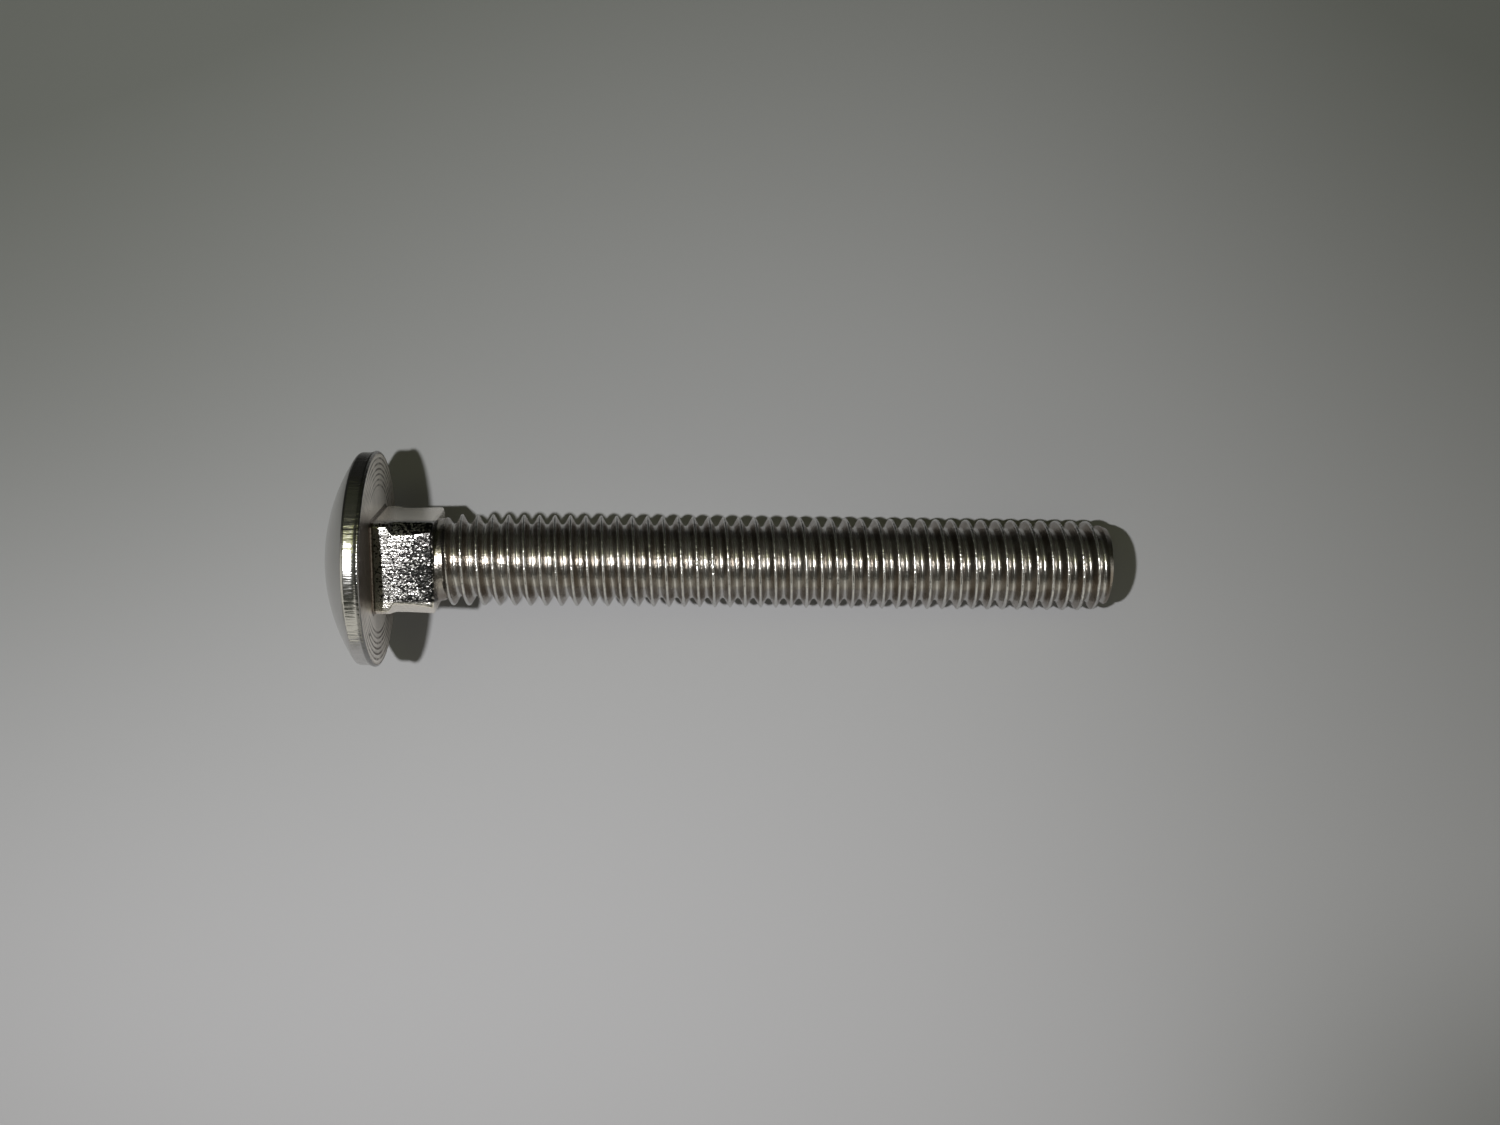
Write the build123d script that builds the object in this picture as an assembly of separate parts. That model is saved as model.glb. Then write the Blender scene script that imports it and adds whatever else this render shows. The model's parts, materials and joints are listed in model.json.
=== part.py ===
from build123d import *
import math
import os

# Carriage bolt, 3/8 in by 3 in, cold forged in one piece from steel wire: a domed round head, a square neck
# that keeps it from turning in wood, and a shank with a rolled coarse thread and a pointed end.
# Millimetres. The bolt is built along +X, with the head's bearing face at X = 0 and the crown on the -X side,
# and is then laid down as it rests: on the rim of its head and on the end of its thread.

# Head. The rim is widest beside the bearing face and draws in towards the crown.
head_diameter = 22.45
head_height = 5.15
rim_height = 1.75
rim_draft = 0.3
rim_edge_radius = 0.2
crown_edge_radius = 0.5

# Square neck. The corners are full beside the head, where the wire was upset the most, fall short of a
# sharp edge in the middle and fill up again a little beside the shank. Each is a size across two corners.
neck_width = 9.4
neck_length = 6.2
neck_full_length = 1.5
neck_step_length = 0.8
corners_at_head = 12.8
corners_in_middle = 11.7
corners_at_shank = 12.2
neck_end_chamfer = 0.25
neck_root_radius = 0.25
neck_turn = 10.0

# Shank. Between neck and thread the wire stays at the size that the thread is rolled from.
shank_length = 75.6
wire_diameter = 8.5
wire_length = 1.3
point_diameter = 8.0
point_length = 1.6

# Right-hand thread, 16 turns to the inch, with a flat crest and flanks that meet in a sharp root. One crest
# passes the bolt's upper side at crest_place, measured from the bearing face.
thread_diameter = 9.43
thread_pitch = 1.5875
thread_angle = 60.0
crest_width = 0.3
crest_place = 8.9

head_radius = head_diameter / 2
thread_radius = thread_diameter / 2
wire_radius = wire_diameter / 2
point_radius = point_diameter / 2
thread_start = neck_length + wire_length
point_start = shank_length - point_length
point_slope = (thread_radius - point_radius) / point_length


def head():
    """Domed head, turned from the half section of its rim and crown."""
    crown_rim_radius = head_radius - rim_draft
    with BuildPart() as domed:
        with BuildSketch(Plane.XZ) as half_section:
            with BuildLine():
                rim = Polyline((0, 0), (0, head_radius), (-rim_height, crown_rim_radius))
                sagitta = head_height - rim_height
                crown_radius = (crown_rim_radius**2 + sagitta**2) / (2 * sagitta)
                half_angle = math.asin(crown_rim_radius / crown_radius) / 2
                middle = (
                    -head_height + crown_radius * (1 - math.cos(half_angle)),
                    crown_radius * math.sin(half_angle),
                )
                crown = ThreePointArc(rim @ 1, middle, (-head_height, 0))
                Line(crown @ 1, (0, 0))
            make_face()
            bearing_corner = half_section.vertices().sort_by_distance((0, head_radius))[0]
            fillet(bearing_corner, rim_edge_radius)
            crown_corner = half_section.vertices().sort_by_distance((-rim_height, crown_rim_radius))[0]
            fillet(crown_corner, crown_edge_radius)
        revolve(axis=Axis.X)
    return domed.part


def neck():
    """Square neck: a square bar inside a turned envelope that gives its corners their fill."""
    at_head = (neck_full_length, corners_at_head / 2)
    in_middle = (neck_full_length + neck_step_length, corners_in_middle / 2)
    at_shank = (neck_length, corners_at_shank / 2)
    with BuildPart() as square:
        with BuildSketch(Plane.YZ):
            Rectangle(neck_width, neck_width, rotation=neck_turn)
        extrude(amount=neck_length)
        with BuildSketch(Plane.XZ):
            with BuildLine():
                Polyline(in_middle, at_head, (0, corners_at_head / 2), (0, 0), (neck_length, 0), at_shank)
                TangentArc(in_middle, at_shank, tangent=(1, 0))
            make_face()
        revolve(axis=Axis.X, mode=Mode.INTERSECT)
        end_face = square.faces().sort_by(Axis.X)[-1]
        chamfer(end_face.edges(), neck_end_chamfer)
    return square.part


def helix(place, radius):
    """One right-hand turn round the Z axis, from its place on that axis."""
    return Edge.make_helix(thread_pitch, thread_pitch, radius, center=(0, 0, place)).edge()


def threaded_rod():
    """Threaded rod along the X axis, longer than the shank at both ends: one solid of helical strips.

    Each turn has a crest and two flanks. A ramp of one turn and a flat face close each end.
    """
    flank_run = (thread_pitch - crest_width) / 2
    root_radius = thread_radius - flank_run / math.tan(math.radians(thread_angle / 2))
    turn_outline = [
        (0, thread_radius),
        (crest_width, thread_radius),
        (crest_width + flank_run, root_radius),
        (thread_pitch, thread_radius),
    ]
    first_crest = crest_place - crest_width / 2
    turns_below = math.ceil((first_crest - thread_start) / thread_pitch) + 1
    rod_start = first_crest - turns_below * thread_pitch
    turns = math.ceil((shank_length - rod_start) / thread_pitch) + 1
    rod_end = rod_start + turns * thread_pitch
    faces = []
    for turn in range(turns):
        turn_start = rod_start + turn * thread_pitch
        edges = [helix(turn_start + along, radius) for along, radius in turn_outline]
        faces += [Face.make_surface_from_curves(low, high) for low, high in zip(edges, edges[1:])]
    for end in (rod_start, rod_end):
        axis_edge = Edge.make_line((0, 0, end), (0, 0, end + thread_pitch))
        faces.append(Face.make_surface_from_curves(helix(end, thread_radius), axis_edge))
        corners = [(radius, 0, end + along) for along, radius in turn_outline]
        faces.append(Face(Wire.make_polygon([(0, 0, end), *corners, (0, 0, end + thread_pitch)])))
    rod = Solid(Shell(Face.sew_faces(faces)[0]))
    return rod.rotate(Axis.Z, 180).rotate(Axis.Y, 90)


def shank():
    """Round shank: bare wire beside the neck, then the thread, cut to a cone where it starts and at its point."""
    spare = thread_pitch / 2
    start_rise = thread_radius + spare - wire_radius
    with BuildPart() as ends:
        with BuildSketch(Plane.XZ):
            with BuildLine():
                Polyline(
                    (thread_start, 0),
                    (thread_start, wire_radius),
                    (thread_start + start_rise, thread_radius + spare),
                    (point_start - spare / point_slope, thread_radius + spare),
                    (shank_length, point_radius),
                    (shank_length, 0),
                    close=True,
                )
            make_face()
        revolve(axis=Axis.X)
    wire = Solid.make_cylinder(wire_radius, thread_start, Plane.YZ)
    return Part() + wire + (threaded_rod() & ends.part)


def resting_tilt():
    """Angle in degrees by which the shank slopes down, from the head's rounded rim to the crest that it rests on."""
    draft_angle = math.atan2(rim_draft, rim_height)
    rounding_height = head_radius - rim_edge_radius * (math.tan(draft_angle) + 1 / math.cos(draft_angle))
    crest_below = crest_place + thread_pitch / 2
    turns = math.floor((shank_length - crest_below) / thread_pitch)
    tilts = []
    for turn in range(turns + 1):
        for crest_edge in (-crest_width / 2, crest_width / 2):
            place = crest_below + turn * thread_pitch + crest_edge
            radius = thread_radius - point_slope * max(0, place - point_start)
            run = place + rim_edge_radius
            rise = rounding_height - radius
            tilts.append(math.atan2(rise, run) + math.asin(rim_edge_radius / math.hypot(run, rise)))
    return math.degrees(min(tilts))


def carriage_bolt():
    """The whole bolt as one solid, laid down, its box centred on the origin with its lowest point at Z = 0."""
    forged = head() + neck()
    root_edges = [
        edge
        for edge in forged.edges()
        if abs(edge.bounding_box().min.X) < 1e-4
        and abs(edge.bounding_box().max.X) < 1e-4
        and edge.bounding_box().diagonal < head_radius
    ]
    bolt = fillet(root_edges, neck_root_radius) + shank()
    lying = bolt.rotate(Axis.Y, resting_tilt())
    box = lying.bounding_box()
    lying = lying.moved(Location((-box.center().X, -box.center().Y, -box.min.Z)))
    lying.label = "carriage_bolt"
    return lying


os.makedirs("parts", exist_ok=True)
export_step(carriage_bolt(), "parts/carriage_bolt.step")
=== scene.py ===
"""Carriage bolt of bright steel, lying on paper on the rim of its head and the end of its thread."""

import json
import math
from collections import namedtuple

import bmesh
import bpy
from mathutils import Matrix, Vector


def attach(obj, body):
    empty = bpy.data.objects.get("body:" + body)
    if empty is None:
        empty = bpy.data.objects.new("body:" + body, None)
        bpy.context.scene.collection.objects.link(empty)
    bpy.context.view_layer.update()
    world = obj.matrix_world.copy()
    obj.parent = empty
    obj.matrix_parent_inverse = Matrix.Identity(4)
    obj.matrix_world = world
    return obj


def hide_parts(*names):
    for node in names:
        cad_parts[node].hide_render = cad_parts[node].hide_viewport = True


bl_info = {
    "name": "Carriage Bolt",
    "version": (1, 0, 0),
    "blender": (4, 5, 0),
    "location": "View3D > Sidebar > Bolt",
    "description": "Builds a carriage bolt with a square neck and a rolled thread, and a small studio",
    "category": "Add Mesh",
}

MM = 0.001
TOUCH = 0.001 * MM
BOLT_NODE = "carriage_bolt"

# The materials of the bolt's mesh, in the order of its slots
HEAD_STEEL, NECK_STEEL, THREAD_STEEL, BEARING_STEEL = range(4)

# The camera, fitted to the photograph's frame of 1500 by 1125 pixels. Its focal length is in pixels too.
FRAME_WIDTH = 1500
FOCAL_LENGTH = 1597.66
CAMERA_PLACE = (9.315 * MM, 10.749 * MM, 173.995 * MM)
CAMERA_TURN = (math.radians(-3.6714), math.radians(2.2529), math.radians(0.7411))
SENSOR_WIDTH = 36.0

PAPER_HALF_SIZE = 1.5
SHARP_ANGLE = math.radians(38)

# A shaded point in the bolt's own frame: its vector, its place along the axis and its distance from the axis
BoltPlace = namedtuple("BoltPlace", "own along radius")

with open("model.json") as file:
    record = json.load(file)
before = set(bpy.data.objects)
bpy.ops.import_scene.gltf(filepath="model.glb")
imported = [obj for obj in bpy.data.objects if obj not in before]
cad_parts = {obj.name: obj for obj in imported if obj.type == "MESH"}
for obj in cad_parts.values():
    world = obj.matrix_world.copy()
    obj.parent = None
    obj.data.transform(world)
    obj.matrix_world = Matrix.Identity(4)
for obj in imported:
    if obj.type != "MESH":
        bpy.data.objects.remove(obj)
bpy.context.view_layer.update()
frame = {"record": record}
mounts = {mount["name"]: mount for mount in frame["record"]["mounts"]}
neck_mount = mounts["square_neck"]


def length(name, description, default_mm):
    """A size that the user can change, given in millimetres and kept in metres."""
    return bpy.props.FloatProperty(
        name=name, description=description, default=default_mm * MM, min=0.0, unit="LENGTH", precision=5
    )


def share(name, description, default):
    """A number from 0 to 1 that the user can change."""
    return bpy.props.FloatProperty(
        name=name, description=description, default=default, min=0.0, max=1.0, subtype="FACTOR"
    )


def count(name, description, default):
    """A whole number that the user can change."""
    return bpy.props.IntProperty(name=name, description=description, default=default, min=3)


def colour(name, description, default):
    """A colour that the user can change, in linear values."""
    return bpy.props.FloatVectorProperty(
        name=name, description=description, default=default, size=3, min=0.0, max=1.0, subtype="COLOR"
    )


class HeadSizes(bpy.types.PropertyGroup):
    """Head"""

    diameter: length("Diameter", "Across the rim, beside the bearing face, before its edge is rounded", 22.3)
    height: length("Height", "From the bearing face to the top of the crown", 5.14)
    rim_height: length("Rim height", "From the bearing face to the crown's edge", 1.75)
    rim_draft: length("Rim draft", "How far the rim draws in towards the crown", 0.22)
    trimmed_height: length("Trimmed height", "Height up to which the rim slopes; it is straight above", 0.65)
    bearing_edge: length("Bearing edge", "Radius between the rim and the bearing face", 0.2)
    crown_edge: length("Crown edge", "Radius between the rim and the crown", 0.5)
    ring_spacing: length("Ring spacing", "From one turning mark on the bearing face to the next", 0.55)
    ring_depth: length("Ring depth", "Depth of the turning marks", 0.035)
    ring_inner: length("Ring inner radius", "Radius at which the turning marks end beside the neck", 7.2)


class NeckSizes(bpy.types.PropertyGroup):
    """Neck"""

    width: length("Width", "Across the flats", 9.4)
    length: length("Length", "From the bearing face to the end of the square", 6.2)
    full_length: length("Full length", "Stretch beside the head where the corners are full", 1.5)
    step_length: length("Step length", "Stretch over which the corners fall back", 0.8)
    corners_at_head: length("Corners at head", "Across two corners beside the head", 12.8)
    corners_in_middle: length("Corners in middle", "Across two corners behind the step", 11.7)
    corners_at_shank: length("Corners at shank", "Across two corners at the shank's end", 12.2)
    end_edge: length("End edge", "Rounding of the end of the square", 0.25)
    root_radius: length("Root radius", "Fillet between the square and the bearing face", 0.25)
    corner_break: length("Corner break", "Width of the broken edges beside the flats", 0.08)
    turn: bpy.props.FloatProperty(
        name="Turn",
        description="How far the square is turned round the bolt's axis",
        default=math.radians(10.0),
        subtype="ANGLE",
    )


class ShankSizes(bpy.types.PropertyGroup):
    """Shank"""

    length: length("Length", "From the bearing face to the end of the thread", 75.6)
    wire_diameter: length("Wire diameter", "Round wire between the neck and the thread", 8.5)
    fade_start: length("Fade start", "Place where the thread begins to rise from the wire", 6.6)
    fade_end: length("Fade end", "Place from which the thread has its full height", 7.7)
    point_diameter: length("Point diameter", "Across the end of the thread", 8.0)
    point_length: length("Point length", "Length of the tapered end", 1.6)
    end_dish: length("End dish", "Depth of the hollow in the end face", 0.25)
    thread_diameter: length("Thread diameter", "Across the crests", 9.43)
    pitch: length("Pitch", "From one crest to the next", 1.5875)
    crest_width: length("Crest width", "Width of the flat on a crest", 0.15)
    crest_edge: length("Crest edge", "Width of the rounding beside a crest's flat", 0.05)
    crest_place: length("Crest place", "Place of a crest on the bolt's upper side", 8.9)
    root_radius: length("Root radius", "Radius of the rounded root", 0.25)


class MeshSizes(bpy.types.PropertyGroup):
    """Mesh"""

    side_steps: count("Side steps", "Faces across a flat or a corner, an eighth of those round the head", 24)
    thread_steps: count("Thread steps", "Faces round one turn of the thread", 96)


class SteelColours(bpy.types.PropertyGroup):
    """Steel"""

    bright: colour("Bright steel", "Colour of the smooth head", (0.63, 0.62, 0.60))
    # Paler than the head's steel: this colour carries a painted reflection of lit paper on the bearing face,
    # and painted light on the neck's side faces.
    bearing: colour("Bearing face", "Colour of the turned face under the head", (0.97, 0.92, 0.85))
    # Dark brown: a film in the ring marks of the bearing face, and painted shade beside the neck and in the
    # neck's fillet.
    film_and_painted_shade: colour("Film", "Brown film in the ring marks and beside the neck", (0.16, 0.125, 0.10))
    scale: colour("Forging scale", "Colour of the neck's satin skin", (0.62, 0.60, 0.58))
    # Darker brown for the thread's flanks: partly a brownish film, partly painted shade in the grooves.
    groove_film_and_shade: colour("Groove stain", "Brownish film in the thread's grooves", (0.27, 0.235, 0.20))
    head_roughness: share("Head roughness", "Roughness of the smooth head", 0.16)
    bearing_roughness: share("Bearing face roughness", "Roughness of the turned face under the head", 0.30)
    neck_roughness: share("Neck roughness", "Roughness of the neck's skin", 0.20)
    thread_roughness: share("Thread roughness", "Roughness of the rolled thread", 0.20)


class StudioSettings(bpy.types.PropertyGroup):
    """Studio"""

    paper: colour("Paper", "Colour of the paper under the bolt", (0.435, 0.431, 0.451))
    far_paper: colour("Far paper", "Colour of the paper away from the light", (0.12, 0.125, 0.115))
    room: colour("Room", "Colour of the dark room above the table", (0.027, 0.029, 0.019))
    ceiling: colour("Ceiling light", "Colour of the dim light overhead, on the far side", (0.60, 0.62, 0.26))
    pale_side: colour("Pale side", "Colour of the dim light, low on all but one side", (0.67, 0.655, 0.59))
    lamp_place: bpy.props.FloatVectorProperty(
        name="Lamp place",
        description="Place of the lamp beside the camera",
        default=(-51 * MM, 6 * MM, 200 * MM),
        subtype="TRANSLATION",
        unit="LENGTH",
    )
    lamp_size: length("Lamp size", "Diameter of the round lamp", 7.0)
    lamp_power: bpy.props.FloatProperty(
        name="Lamp power", description="Power of the lamp in watts", default=0.40, min=0.0, subtype="POWER"
    )


SETTINGS = {
    "bolt_head": HeadSizes,
    "bolt_neck": NeckSizes,
    "bolt_shank": ShankSizes,
    "bolt_mesh": MeshSizes,
    "bolt_steel": SteelColours,
    "bolt_studio": StudioSettings,
}


class Value:
    """A shader socket that takes part in arithmetic by adding Math nodes."""

    def __init__(self, shader, socket):
        self.shader = shader
        self.socket = socket

    def math(self, operation, *others):
        return self.shader.math(operation, self, *others)

    def __add__(self, other):
        return self.math("ADD", other)

    def __radd__(self, other):
        return self.math("ADD", other)

    def __sub__(self, other):
        return self.math("SUBTRACT", other)

    def __rsub__(self, other):
        return self.shader.math("SUBTRACT", other, self)

    def __mul__(self, other):
        return self.math("MULTIPLY", other)

    def __rmul__(self, other):
        return self.math("MULTIPLY", other)

    def __truediv__(self, other):
        return self.math("DIVIDE", other)

    def __rtruediv__(self, other):
        return self.shader.math("DIVIDE", other, self)

    def step(self, low, high, from_value=0.0, to_value=1.0):
        """Goes smoothly from one value to another as this one goes from low to high."""
        settings = {"interpolation_type": "SMOOTHSTEP"}
        return self.shader.node("ShaderNodeMapRange", settings, [self, low, high, from_value, to_value])

    def band(self, low, full_low, full_high, high):
        """Rises smoothly from 0 to 1, stays there and falls back to 0 as this value grows."""
        return self.step(low, full_low) * self.step(full_high, high, 1.0, 0.0)


class Shader:
    """A node tree that is filled by plain calls."""

    def __init__(self, tree):
        self.tree = tree

    def node(self, kind, settings=None, inputs=(), output=0):
        """Adds a node: its settings first, then its inputs by place or name. Returns one of its outputs."""
        made = self.tree.nodes.new(kind)
        for key, value in (settings or {}).items():
            setattr(made, key, value)
        pairs = inputs.items() if isinstance(inputs, dict) else enumerate(inputs)
        for key, value in pairs:
            if isinstance(value, Value):
                self.tree.links.new(value.socket, made.inputs[key])
            elif value is not None:
                made.inputs[key].default_value = value
        return Value(self, made.outputs[output])

    def math(self, operation, *values):
        return self.node("ShaderNodeMath", {"operation": operation}, values)

    def mix(self, factor, first, second):
        """Mixes two colours."""
        first, second = (item if isinstance(item, Value) else (*item[:3], 1.0) for item in (first, second))
        inputs = {"Factor": factor, 6: first, 7: second}
        return self.node("ShaderNodeMix", {"data_type": "RGBA"}, inputs, output=2)

    def noise(self, vector, scale, detail=2.0, roughness=0.5):
        inputs = {"Vector": vector, "Scale": scale, "Detail": detail, "Roughness": roughness}
        return self.node("ShaderNodeTexNoise", None, inputs)

    def bump(self, height, distance, normal=None):
        inputs = {"Strength": 1.0, "Distance": distance, "Height": height, "Normal": normal}
        return self.node("ShaderNodeBump", None, inputs)

    def coordinates(self, kind):
        return self.node("ShaderNodeTexCoord", None, [], output=kind)

    def part(self, vector, axis):
        """One part of a vector, as a number."""
        return self.node("ShaderNodeSeparateXYZ", None, [vector], output=axis)

    def stretched(self, vector, factors):
        """The same coordinates, scaled apart along each axis."""
        return self.node("ShaderNodeVectorMath", {"operation": "MULTIPLY"}, [vector, factors])

    def plug(self, value, target, name):
        self.tree.links.new(value.socket, target.inputs[name])


def darker(shade, factor):
    """A colour at a share of its brightness."""
    return [part * factor for part in shade]


def new_material(name):
    """An empty material, its shader and its principled node."""
    material = bpy.data.materials.new(name)
    material.use_nodes = True
    shader = Shader(material.node_tree)
    return material, shader, material.node_tree.nodes["Principled BSDF"]


def lying_matrix():
    """Takes the bolt's own frame, with its axis along X from the bearing face, to the place where it lies."""
    axis = Vector(neck_mount["axis"])
    neck_length = bpy.context.scene.bolt_neck.length
    bearing_face = Vector(neck_mount["pos_m"]) - axis * neck_length / 2
    return Matrix.Translation(bearing_face) @ Vector((1, 0, 0)).rotation_difference(axis).to_matrix().to_4x4()


def bolt_place(shader):
    """Object coordinates turned into the bolt's own frame."""
    inverse = lying_matrix().inverted()
    lying = shader.coordinates("Object")
    inputs = {"Vector": lying, "Location": inverse.to_translation(), "Rotation": inverse.to_euler()}
    own = shader.node("ShaderNodeMapping", {"vector_type": "POINT"}, inputs)
    along = shader.part(own, "X")
    flat = shader.stretched(own, (0.0, 1.0, 1.0))
    radius = shader.node("ShaderNodeVectorMath", {"operation": "LENGTH"}, [flat], output="Value")
    return BoltPlace(own, along, radius)


def steel_material(name, finish):
    """A metal that takes its shade, roughness and relief from one of the finishes."""
    material, shader, principled = new_material(name)
    shade, roughness, relief = finish(shader, bolt_place(shader))
    shader.plug(shade, principled, "Base Color")
    shader.plug(roughness, principled, "Roughness")
    principled.inputs["Metallic"].default_value = 1.0
    shader.plug(relief, principled, "Normal")
    return material


def smooth_finish(shader, place):
    """Bright head: nearly a mirror, with fine tumbling marks, lines along the bolt on its rim, and a band of
    painted shade on the rim beside the bearing edge.
    """
    steel = bpy.context.scene.bolt_steel
    head = bpy.context.scene.bolt_head
    cloud = shader.noise(place.own, 220.0, detail=4.0)
    grain = shader.noise(place.own, 2600.0, detail=3.0, roughness=0.6)
    shade = shader.mix(cloud.step(0.35, 0.7), steel.bright, darker(steel.bright, 0.93))
    # Painted shade: the rim is darkened beside the bearing edge, standing in for the dark reflection there
    # and hiding the edge's highlight.
    painted_dark_rim_band = place.along.step(-0.8 * head.trimmed_height, -0.5 * head.trimmed_height)
    shade = shader.mix(0.6 * painted_dark_rim_band, shade, darker(steel.bright, 0.12))
    rim_blend = 0.2 * MM
    rim = place.along.step(-head.rim_height, rim_blend - head.rim_height)
    drawn = shader.noise(shader.stretched(place.own, (0.12, 1.0, 1.0)), 2600.0, detail=2.0, roughness=0.6)
    relief = shader.bump(rim * drawn, 0.07 * MM, shader.bump(grain, 0.004 * MM))
    return shade, steel.head_roughness + 0.08 * grain, relief


def turned_finish(shader, place):
    """Turned bearing face: matte, with dark ring marks, a few pits, and a band of painted shade in line with
    the neck.
    """
    steel = bpy.context.scene.bolt_steel
    head = bpy.context.scene.bolt_head
    neck = bpy.context.scene.bolt_neck
    sideways = shader.part(place.own, "Y").math("ABSOLUTE")
    cloud = shader.noise(place.own, 500.0, detail=4.0)
    grain = shader.noise(place.own, 2400.0, detail=3.0, roughness=0.6)
    pits = shader.noise(place.own, 900.0, detail=1.0).step(0.74, 0.78)
    # from 0 to 1 across each ring, with a dark line in its middle
    ring = ((bearing_edge_centre(head)[1] - place.radius) / head.ring_spacing + 0.5).math("FRACT")
    line = (ring - 0.5).math("ABSOLUTE").step(0.10, 0.26, 1.0, 0.0)
    wear = shader.noise(place.own, 700.0, detail=2.0).step(0.35, 0.6, 0.35, 0.95)
    mark = line * place.radius.step(head.ring_inner - 0.2 * MM, head.ring_inner + 0.4 * MM) * wear
    # Painted shade: a dark band across the face in line with the neck, standing in for the shaded neck that
    # the face mirrors.
    painted_shade_start = neck.width / 2 - 0.6 * MM
    film_and_painted_shade = (sideways + 1.4 * MM * cloud).step(painted_shade_start, painted_shade_start + 2.0 * MM, 0.92, 0.0)
    # The pale bearing colour carries a painted reflection of lit paper.
    shade = shader.mix(cloud.step(0.3, 0.7), steel.bearing, darker(steel.bearing, 0.85))
    shade = shader.mix(mark, shade, steel.film_and_painted_shade)
    shade = shader.mix(pits, shade, darker(steel.bearing, 0.12))
    shade = shader.mix(film_and_painted_shade, shade, steel.film_and_painted_shade)
    return shade, steel.bearing_roughness + 0.1 * grain, shader.bump(grain, 0.01 * MM)


def satin_finish(shader, place):
    """Forged neck: a glittering skin of small grains with dark specks, more of them towards the shank as
    painted shade, between side faces painted paler, and painted shade in the fillet beside the head.
    """
    steel = bpy.context.scene.bolt_steel
    neck = bpy.context.scene.bolt_neck
    sideways = shader.part(place.own, "Y").math("ABSOLUTE")
    drawn = shader.noise(shader.stretched(place.own, (0.05, 1.0, 1.0)), 2300.0, detail=3.0, roughness=0.6)
    glitter = shader.noise(place.own, 6500.0, detail=2.0, roughness=0.6)
    specks = shader.noise(shader.stretched(place.own, (0.8, 1.0, 1.0)), 4200.0, detail=1.0, roughness=0.7)
    lines = shader.noise(shader.stretched(place.own, (0.04, 1.0, 1.0)), 1500.0, detail=2.0)
    # Dark specks of the forged skin, whose share grows towards the shank as painted shade.
    specks_and_painted_shade = (0.24 * place.along / neck.length + specks + 0.35 * lines).step(0.765, 0.795)
    # Painted light: the side faces take the pale bearing colour, standing in for the pale reflection they
    # show.
    side = sideways.step(neck.width / 2 - 0.7 * MM, neck.width / 2 - 0.45 * MM)
    # Painted shade in the fillet beside the head, hiding its highlight.
    root = place.along.step(neck.root_radius, 1.6 * neck.root_radius, 0.9, 0.0)
    shade = shader.mix(specks_and_painted_shade, steel.scale, darker(steel.scale, 0.05))
    shade = shader.mix(side, shade, steel.bearing)
    shade = shader.mix(root, shade, steel.film_and_painted_shade)
    relief = shader.bump(glitter, 0.035 * MM, shader.bump(drawn, 0.03 * MM))
    return shade, steel.neck_roughness + 0.1 * drawn, relief


def rolled_finish(shader, place):
    """Rolled thread: bright nicked crests, and flanks darkened by a brownish film and painted shade, less so
    in the roots.
    """
    steel = bpy.context.scene.bolt_steel
    shank = bpy.context.scene.bolt_shank
    groove_depth = 0.9 * MM
    depth = (shank.thread_diameter / 2 - place.radius) / groove_depth
    cloud = shader.noise(place.own, 400.0, detail=3.0)
    grain = shader.noise(place.own, 3800.0, detail=3.0, roughness=0.6)
    beads = shader.noise(place.own, 1900.0, detail=2.0, roughness=0.55)
    # Painted shade and a brownish film: the flanks are darkened towards the groove colour, the roots less so.
    film_and_painted_shade = depth.step(0.10, 0.25) * depth.step(0.85, 1.0, 1.0, 0.3) * cloud.step(0.3, 0.6, 0.5, 1.0)
    worn = beads * depth.step(0.05, 0.35, 1.0, 0.18)
    relief = shader.bump(worn, 0.10 * MM, shader.bump(grain, 0.02 * MM))
    return shader.mix(film_and_painted_shade, steel.bright, steel.groove_film_and_shade), steel.thread_roughness + 0.1 * grain, relief


def of_kind(kind, geom):
    """The vertices, edges or faces in the geometry that an operator returned."""
    return [item for item in geom if isinstance(item, kind)]


def add_chain(bm, points):
    """Adds vertices in a row with edges between them."""
    verts = [bm.verts.new(point) for point in points]
    edges = [bm.edges.new(pair) for pair in zip(verts, verts[1:])]
    return verts + edges


def arc(centre, radius, start, end, steps):
    """Points of an arc in the plane of the axis and a radius, as pairs of place and radius."""
    turns = [start + (end - start) * i / steps for i in range(steps + 1)]
    return [(centre[0] + radius * math.cos(turn), centre[1] + radius * math.sin(turn)) for turn in turns]


def rim_draft_angle(head):
    """How far the rim leans, from the bearing face to the crown."""
    return math.atan2(head.rim_draft, head.rim_height)


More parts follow.
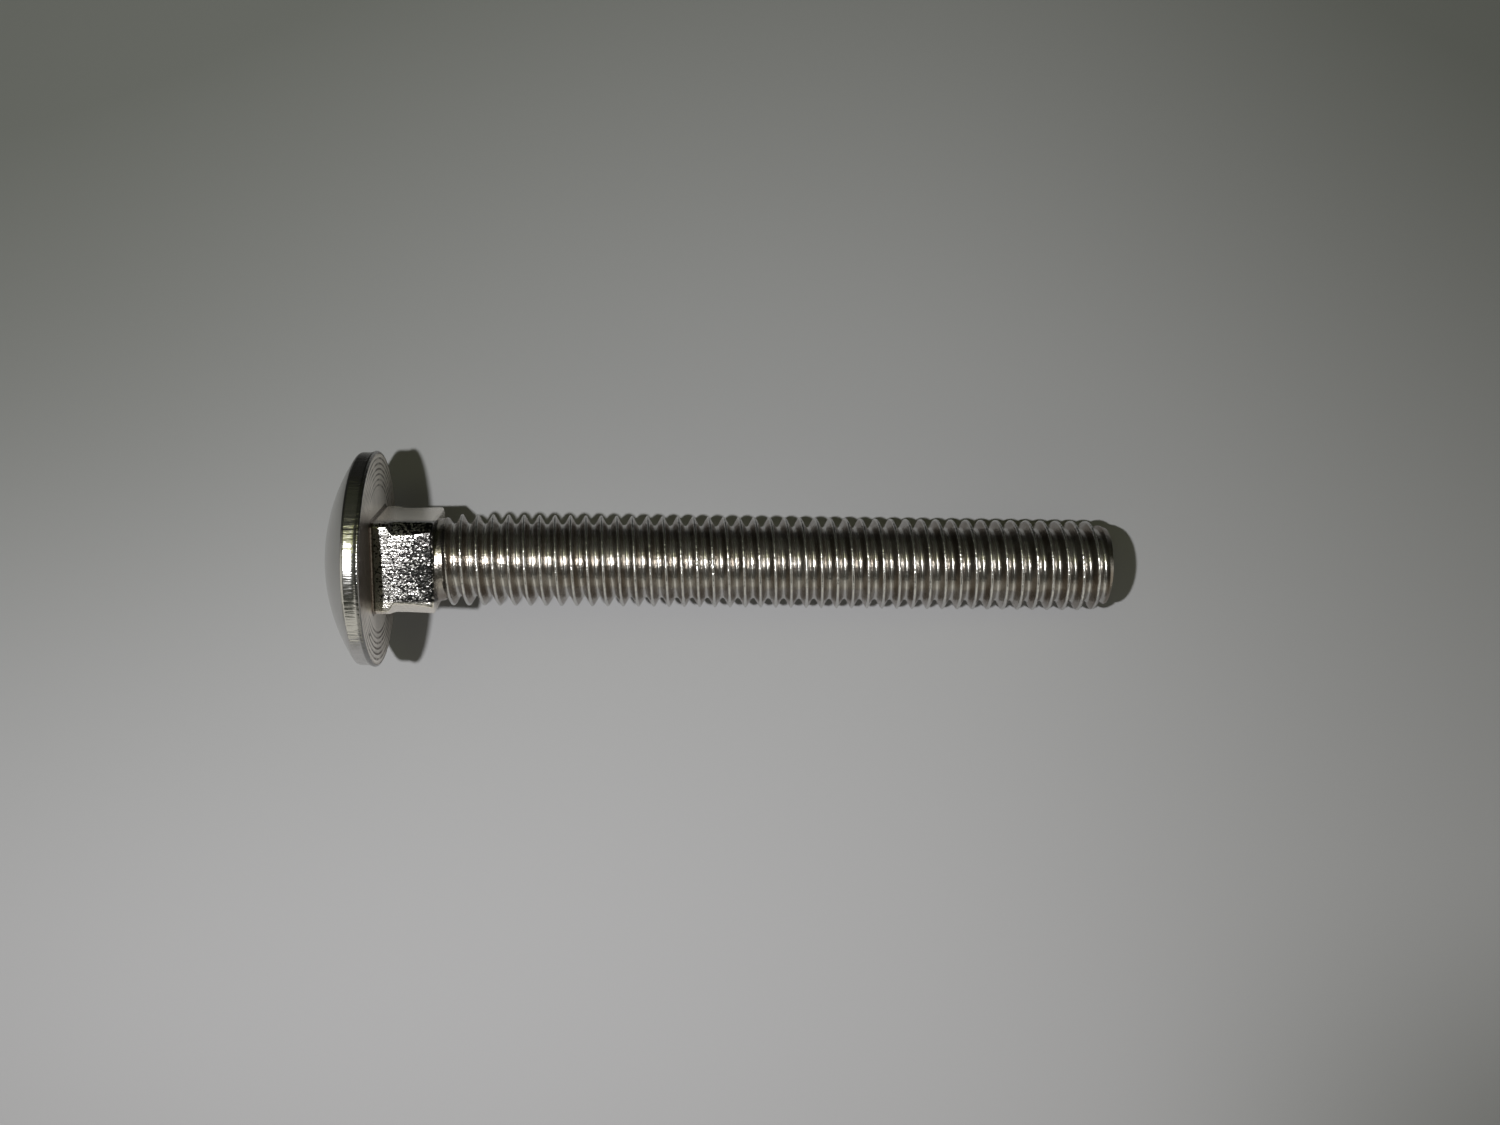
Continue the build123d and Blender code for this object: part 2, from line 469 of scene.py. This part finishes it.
def head_outline(head):
    """Half section of the head as pairs of place and radius, from the crown's pole to the bearing face."""
    radius = head.diameter / 2
    crown_rim = radius - head.rim_draft
    sagitta = head.height - head.rim_height
    crown_radius = (crown_rim**2 + sagitta**2) / (2 * sagitta)
    crown_centre = Vector((crown_radius - head.height, 0.0))
    # the rounding between crown and rim lies inside both, a radius away from each
    draft = rim_draft_angle(head)
    rim_normal = Vector((-math.sin(draft), math.cos(draft)))
    rim_direction = Vector((-math.cos(draft), -math.sin(draft)))
    rim_point = Vector((0.0, radius)) - rim_normal * head.crown_edge
    reach = crown_radius - head.crown_edge
    offset = rim_point - crown_centre
    towards = offset.dot(rim_direction)
    along = math.sqrt(towards**2 - offset.length_squared + reach**2) - towards
    edge_centre = rim_point + rim_direction * along
    crown_end = math.atan2(edge_centre.y - crown_centre.y, edge_centre.x - crown_centre.x)
    rim_start = math.atan2(rim_normal.y, rim_normal.x)
    outline = arc(crown_centre, crown_radius, math.pi, crown_end, steps=36)
    outline += arc(edge_centre, head.crown_edge, crown_end, math.pi / 2, steps=10)[1:]
    bearing_arc = arc(bearing_edge_centre(head), head.bearing_edge, rim_start, 0.0, steps=8)
    straight_start = Vector(outline[-1])
    straight_end = Vector((-head.trimmed_height, straight_start.y))
    outline += [tuple(straight_start.lerp(straight_end, part)) for part in (0.25, 0.5, 0.75, 1.0)]
    outline.append(tuple(straight_end.lerp(Vector(bearing_arc[0]), 0.5)))
    return outline + bearing_arc + bearing_face_outline(head)


def bearing_edge_centre(head):
    """Centre of the rounding between the rim and the bearing face."""
    draft = rim_draft_angle(head)
    edge = head.bearing_edge
    return (-edge, head.diameter / 2 - edge * (math.tan(draft) + 1 / math.cos(draft)))


def bearing_face_outline(head):
    """The bearing face from its edge inwards, with shallow turning marks."""
    points_per_ring = 6
    start = bearing_edge_centre(head)[1]
    rings = round((start - head.ring_inner) / head.ring_spacing)
    points = []
    for i in range(1, rings * points_per_ring + 1):
        part = i / (rings * points_per_ring)
        wave = 0.5 - 0.5 * math.cos(2 * math.pi * i / points_per_ring)
        points.append((-head.ring_depth * wave, start + (head.ring_inner - start) * part))
    return points


def spin_head(bm, head, steps):
    """Turned head, open on the bearing face beside the neck. Returns the edges of the opening."""
    profile = add_chain(bm, [(place, 0.0, radius) for place, radius in head_outline(head)])
    bmesh.ops.spin(
        bm, geom=profile, cent=(0, 0, 0), axis=(1, 0, 0), angle=2 * math.pi, steps=steps, use_merge=True
    )
    bmesh.ops.remove_doubles(bm, verts=bm.verts, dist=TOUCH)
    return [edge for edge in bm.edges if edge.is_boundary]


def neck_ring(neck, corner_radius, inset, per_side):
    """One section of the neck as pairs of Y and Z: four flats and four corners, drawn in by an inset."""
    half = neck.width / 2 - inset
    corner_radius = corner_radius - inset
    corner_start = math.acos(half / corner_radius)
    flat_end = corner_radius * math.sin(corner_start) - neck.corner_break / 2
    arc_start = corner_start + neck.corner_break / 2 / corner_radius
    points = []
    for side in range(4):
        turn = Matrix.Rotation(neck.turn + side * math.pi / 2, 2)
        for i in range(per_side):
            across = flat_end * (2 * i / (per_side - 1) - 1)
            points.append(turn @ Vector((half, across)))
        for i in range(per_side):
            angle = arc_start + (math.pi / 2 - 2 * arc_start) * i / (per_side - 1)
            points.append(turn @ Vector((math.cos(angle), math.sin(angle))) * corner_radius)
    return points


def neck_sections(neck):
    """Sections along the neck as rows of place, corner radius and inset."""
    full, middle, last = (
        corners / 2 for corners in (neck.corners_at_head, neck.corners_in_middle, neck.corners_at_shank)
    )
    sections = []
    fillet_steps = 4
    for i in range(fillet_steps + 1):
        angle = math.pi / 2 * i / fillet_steps
        place = neck.root_radius * (1 - math.cos(angle))
        sections.append((place, full, -neck.root_radius * (1 - math.sin(angle))))
    for part in (0.4, 2 / 3, 0.9):
        sections.append((neck.full_length * part, full, 0.0))
    fall_steps = 8
    for i in range(fall_steps + 1):
        part = i / fall_steps
        place = neck.full_length + neck.step_length * part
        sections.append((place, full + (middle - full) * smoothstep(part, 0.0, 1.0), 0.0))
    rise_steps = 14
    rise_start = neck.full_length + neck.step_length
    rise_length = neck.length - neck.end_edge - rise_start
    for i in range(1, rise_steps + 1):
        part = i / rise_steps
        sections.append((rise_start + rise_length * part, middle + (last - middle) * part**2, 0.0))
    edge_steps = 4
    for i in range(1, edge_steps + 1):
        angle = math.pi / 2 * i / edge_steps
        place = neck.length - neck.end_edge * (1 - math.sin(angle))
        sections.append((place, last, neck.end_edge * (1 - math.cos(angle))))
    return sections


def extrude_neck(bm, neck, side_steps):
    """Square neck, extruded from section to section. Returns the edges of its first and its last ring."""
    ring = bmesh.ops.create_circle(bm, segments=8 * side_steps, radius=neck.width / 2)["verts"]
    rings = []
    for place, corner_radius, inset in neck_sections(neck):
        if rings:
            made = bmesh.ops.extrude_edge_only(bm, edges=ring_edges(ring))["geom"]
            ring = match_ring(ring, of_kind(bmesh.types.BMVert, made))
        for vert, (y, z) in zip(ring, neck_ring(neck, corner_radius, inset, side_steps)):
            vert.co = (place, y, z)
        rings.append(ring)
    return ring_edges(rings[0]), ring_edges(rings[-1])


def ring_edges(ring):
    """The edges that join the vertices of a closed ring in order."""
    return [
        next(edge for edge in vert.link_edges if edge.other_vert(vert) is following)
        for vert, following in zip(ring, ring[1:] + ring[:1])
    ]


def match_ring(old_ring, new_verts):
    """Puts freshly extruded vertices into the order of the ring that they came from."""
    made = set(new_verts)
    return [
        next(edge.other_vert(vert) for edge in vert.link_edges if edge.other_vert(vert) in made)
        for vert in old_ring
    ]


def thread_outline(shank):
    """One pitch of the thread from root to root, as pairs of place and radius about the crest's middle."""
    crest_radius = shank.thread_diameter / 2
    flank = math.radians(30)
    half_crest = shank.crest_width / 2
    half_pitch = shank.pitch / 2
    edge = shank.crest_edge
    sharp_radius = crest_radius - (half_pitch - half_crest) / math.tan(flank)
    root_centre = (half_pitch, sharp_radius + shank.root_radius / math.sin(flank))
    half = arc(root_centre, shank.root_radius, -math.pi / 2, -math.pi / 2 - math.radians(60), steps=3)
    flank_end = (half_crest + edge * math.tan(flank), crest_radius - edge)
    half.append(tuple((a + b) / 2 for a, b in zip(half[-1], flank_end)))
    half.append(flank_end)
    # one point in the middle of the crest's rounded edge
    half.append((half_crest - 0.4 * edge, crest_radius - 0.1 * edge))
    half.append((0.0, crest_radius))
    return [(-place, radius) for place, radius in half] + half[-2::-1]


def screw_thread(bm, shank, start, steps):
    """Threaded rod from the neck's end to its point: one pitch of outline, screwed round and cut off."""
    turns_before = math.ceil((shank.crest_place - start) / shank.pitch) + 2
    first_crest = shank.crest_place - turns_before * shank.pitch
    profile = add_chain(bm, [(first_crest + place, 0.0, radius) for place, radius in thread_outline(shank)])
    bmesh.ops.spin(
        bm,
        geom=profile,
        cent=(0, 0, 0),
        axis=(1, 0, 0),
        dvec=(shank.pitch / steps, 0, 0),
        angle=2 * math.pi,
        steps=steps,
    )
    turns = 1
    while first_crest + turns * shank.pitch < shank.length + 2 * shank.pitch:
        copied = bmesh.ops.duplicate(bm, geom=bm.verts[:] + bm.edges[:] + bm.faces[:])["geom"]
        moved = of_kind(bmesh.types.BMVert, copied)
        bmesh.ops.translate(bm, vec=(turns * shank.pitch, 0, 0), verts=moved)
        turns *= 2
    bmesh.ops.remove_doubles(bm, verts=bm.verts, dist=2 * TOUCH)
    for place, clear in ((start, "clear_inner"), (shank.length, "clear_outer")):
        geom = bm.verts[:] + bm.edges[:] + bm.faces[:]
        bmesh.ops.bisect_plane(
            bm, geom=geom, dist=TOUCH, plane_co=(place, 0, 0), plane_no=(1, 0, 0), **{clear: True}
        )


def smoothstep(value, low, high):
    """Goes smoothly from 0 to 1 as the value goes from low to high."""
    part = min(max((value - low) / (high - low), 0.0), 1.0)
    return part * part * (3 - 2 * part)


def shape_thread(bm, shank):
    """Lets the thread rise out of the wire and tapers its point."""
    wire_radius = shank.wire_diameter / 2
    crest_radius = shank.thread_diameter / 2
    point_start = shank.length - shank.point_length
    slope = (crest_radius - shank.point_diameter / 2) / shank.point_length
    for vert in bm.verts:
        place = vert.co.x
        radius = vert.co.yz.length
        rise = smoothstep(place, shank.fade_start, shank.fade_end)
        taper = crest_radius - slope * max(0.0, place - point_start)
        shaped = min(wire_radius + (radius - wire_radius) * rise, taper)
        vert.co.y *= shaped / radius
        vert.co.z *= shaped / radius


def boundary_at(bm, place):
    """The open edges that lie in the plane across the axis at a place."""
    return [
        edge
        for edge in bm.edges
        if edge.is_boundary and all(abs(vert.co.x - place) < 2 * TOUCH for vert in edge.verts)
    ]


def close_end(bm, shank):
    """Closes the thread's end with rings that shrink towards the axis, into a shallow hollow."""
    edges = boundary_at(bm, shank.length)
    # each ring's size beside the one before it, and its share of the hollow's depth
    for shrink, depth in ((0.88, 0.0), (0.78, 0.5), (0.68, 0.35), (0.5, 0.15)):
        made = bmesh.ops.extrude_edge_only(bm, edges=edges)["geom"]
        verts = of_kind(bmesh.types.BMVert, made)
        edges = [edge for edge in of_kind(bmesh.types.BMEdge, made) if edge.is_boundary]
        bmesh.ops.scale(bm, vec=(1.0, shrink, shrink), verts=verts)
        bmesh.ops.translate(bm, vec=(-depth * shank.end_dish, 0.0, 0.0), verts=verts)
    bmesh.ops.edgeloop_fill(bm, edges=edges)


def thread_mesh(shank, start, steps):
    """The thread as a mesh of its own, open beside the neck, in the bolt's own frame."""
    bm = bmesh.new()
    screw_thread(bm, shank, start, steps)
    shape_thread(bm, shank)
    close_end(bm, shank)
    for face in bm.faces:
        face.material_index = THREAD_STEEL
    mesh = bpy.data.meshes.new("thread")
    bm.to_mesh(mesh)
    bm.free()
    return mesh


def colour_head_and_neck(bm, head):
    """Gives the faces of crown and rim, bearing face and neck their materials."""
    face_edge = bearing_edge_centre(head)[1]
    for face in bm.faces:
        middle = face.calc_center_median()
        if middle.x > TOUCH:
            face.material_index = NECK_STEEL
        elif middle.x > -1.5 * head.ring_depth and middle.yz.length < face_edge:
            face.material_index = BEARING_STEEL
        else:
            face.material_index = HEAD_STEEL


def join_thread(bm, thread, neck_end, neck_edges):
    """Adds the thread and fills the flat ledge between the square neck and the round wire."""
    bm.from_mesh(thread)
    bpy.data.meshes.remove(thread)
    neck_side = set(neck_edges)
    thread_edges = [edge for edge in boundary_at(bm, neck_end) if edge not in neck_side]
    ledge = bmesh.ops.triangle_fill(
        bm, edges=neck_edges + thread_edges, use_beauty=True, normal=(1.0, 0.0, 0.0)
    )["geom"]
    for face in of_kind(bmesh.types.BMFace, ledge):
        face.material_index = NECK_STEEL


def as_piece(bm, name, materials):
    """Turns a finished bmesh into a smooth-shaded object with outward faces and marked sharp edges."""
    bmesh.ops.recalc_face_normals(bm, faces=bm.faces)
    mesh = bpy.data.meshes.new(name)
    bm.to_mesh(mesh)
    bm.free()
    for material in materials:
        mesh.materials.append(material)
    mesh.shade_smooth()
    mesh.set_sharp_from_angle(angle=SHARP_ANGLE)
    piece = bpy.data.objects.new(name, mesh)
    bpy.context.scene.collection.objects.link(piece)
    return piece


class MESH_OT_carriage_bolt_add(bpy.types.Operator):
    """Add the bolt: domed head, square neck and threaded shank as one closed mesh"""

    bl_idname = "mesh.carriage_bolt_add"
    bl_label = "Add Carriage Bolt"

    def execute(self, context):
        scene = context.scene
        head, neck, shank, sizes = scene.bolt_head, scene.bolt_neck, scene.bolt_shank, scene.bolt_mesh
        thread = thread_mesh(shank, neck.length, sizes.thread_steps)
        bm = bmesh.new()
        opening = spin_head(bm, head, 8 * sizes.side_steps)
        first_edges, last_edges = extrude_neck(bm, neck, sizes.side_steps)
        bmesh.ops.bridge_loops(bm, edges=opening + first_edges)
        colour_head_and_neck(bm, head)
        join_thread(bm, thread, neck.length, last_edges)
        bmesh.ops.transform(bm, matrix=lying_matrix(), verts=bm.verts)
        materials = [
            steel_material("bright_steel_head", smooth_finish),
            steel_material("bright_steel_neck", satin_finish),
            steel_material("bright_steel_thread", rolled_finish),
            steel_material("bright_steel_bearing_face", turned_finish),
        ]
        piece = as_piece(bm, "bolt", materials)
        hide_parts(BOLT_NODE)
        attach(piece, "root")
        return {"FINISHED"}


class SCENE_OT_bolt_studio(bpy.types.Operator):
    """Add the paper, the lamp, the dim room and the camera"""

    bl_idname = "scene.bolt_studio"
    bl_label = "Add Studio"

    def execute(self, context):
        scene = context.scene
        paper = self.add_paper(scene)
        self.add_lamp(scene)
        self.light_room(scene)
        self.add_camera(scene)
        scene.view_settings.view_transform = "Standard"
        return {"FINISHED"}

    def add_paper(self, scene):
        bm = bmesh.new()
        bmesh.ops.create_grid(bm, x_segments=1, y_segments=1, size=PAPER_HALF_SIZE)
        mesh = bpy.data.meshes.new("paper")
        bm.to_mesh(mesh)
        bm.free()
        paper = bpy.data.objects.new("paper", mesh)
        scene.collection.objects.link(paper)
        mesh.materials.append(self.paper_material(scene.bolt_studio))
        return paper

    def paper_material(self, studio):
        """Paper that darkens away from the light, and more so in what the bolt mirrors of its far side."""
        material, shader, principled = new_material("paper")
        place = shader.coordinates("Object")
        across = shader.part(place, "X")
        away = shader.part(place, "Y")
        left = across.step(-90 * MM, 20 * MM, 1.0, 0.0)
        far_left = left * away.step(-60 * MM, 30 * MM) * away.step(0.0, 60 * MM, 1.0, 0.7)
        near_right = across.step(40 * MM, 100 * MM) * away.step(-70 * MM, -30 * MM, 1.0, 0.0)
        far = away.step(-80 * MM, 100 * MM) + 0.2 * across.step(20 * MM, 100 * MM)
        far = far + 0.3 * far_left + 0.5 * near_right
        shade = shader.mix(far, studio.paper, studio.far_paper)
        mirrored = shader.node("ShaderNodeLightPath", None, [], output="Is Glossy Ray")
        beside_neck = across.band(-40 * MM, -38 * MM, -30 * MM, -26 * MM)
        behind = away.step(6 * MM, 22 * MM) * (1.0 - beside_neck)
        shade = shader.mix(mirrored * behind, shade, darker(studio.far_paper, 0.05))
        shader.plug(shade, principled, "Base Color")
        principled.inputs["Roughness"].default_value = 0.9
        principled.inputs["Specular IOR Level"].default_value = 0.2
        return material

    def add_lamp(self, scene):
        studio = scene.bolt_studio
        data = bpy.data.lights.new("lamp", "AREA")
        data.shape = "DISK"
        data.size = studio.lamp_size
        data.energy = studio.lamp_power
        lamp = bpy.data.objects.new("lamp", data)
        lamp.location = studio.lamp_place
        lamp.rotation_euler = (-Vector(studio.lamp_place)).to_track_quat("-Z", "Y").to_euler()
        scene.collection.objects.link(lamp)

    def light_room(self, scene):
        """A dark room with a dim light, low on all but the far side, and a dim patch overhead."""
        studio = scene.bolt_studio
        world = bpy.data.worlds.new("room")
        world.use_nodes = True
        shader = Shader(world.node_tree)
        direction = shader.coordinates("Generated")
        sideways, away, upward = (shader.part(direction, axis) for axis in "XYZ")
        low = upward.step(0.46, 0.62, 1.0, 0.0) * away.step(-0.1, 0.3, 1.0, 0.0)
        patch = away.band(0.12, 0.20, 0.40, 0.52) * sideways.band(-0.6, -0.4, 0.1, 0.3)
        overhead = patch * upward.step(0.6, 0.7)
        shade = shader.mix(low, studio.room, studio.pale_side)
        shade = shader.mix(overhead, shade, studio.ceiling)
        shader.plug(shade, world.node_tree.nodes["Background"], "Color")
        scene.world = world

    def add_camera(self, scene):
        data = bpy.data.cameras.new("camera")
        data.sensor_width = SENSOR_WIDTH
        data.lens = SENSOR_WIDTH * FOCAL_LENGTH / FRAME_WIDTH
        data.clip_start = 0.005
        data.clip_end = 10.0
        camera = bpy.data.objects.new("camera", data)
        camera.location = CAMERA_PLACE
        camera.rotation_euler = CAMERA_TURN
        scene.collection.objects.link(camera)
        scene.camera = camera


class VIEW3D_PT_carriage_bolt(bpy.types.Panel):
    """Sizes, colours and buttons for the bolt and its studio"""

    bl_label = "Carriage Bolt"
    bl_space_type = "VIEW_3D"
    bl_region_type = "UI"
    bl_category = "Bolt"

    def draw(self, context):
        layout = self.layout
        layout.operator(MESH_OT_carriage_bolt_add.bl_idname)
        layout.operator(SCENE_OT_bolt_studio.bl_idname)
        for name, group in SETTINGS.items():
            box = layout.box()
            box.label(text=group.__doc__)
            for key in group.__annotations__:
                box.prop(getattr(context.scene, name), key)


CLASSES = (*SETTINGS.values(), MESH_OT_carriage_bolt_add, SCENE_OT_bolt_studio, VIEW3D_PT_carriage_bolt)


def register():
    for cls in CLASSES:
        bpy.utils.register_class(cls)
    for name, group in SETTINGS.items():
        setattr(bpy.types.Scene, name, bpy.props.PointerProperty(type=group))


def unregister():
    for name in SETTINGS:
        delattr(bpy.types.Scene, name)
    for cls in reversed(CLASSES):
        bpy.utils.unregister_class(cls)


def main():
    register()
    bpy.ops.mesh.carriage_bolt_add()
    bpy.ops.scene.bolt_studio()


if __name__ == "__main__":
    main()
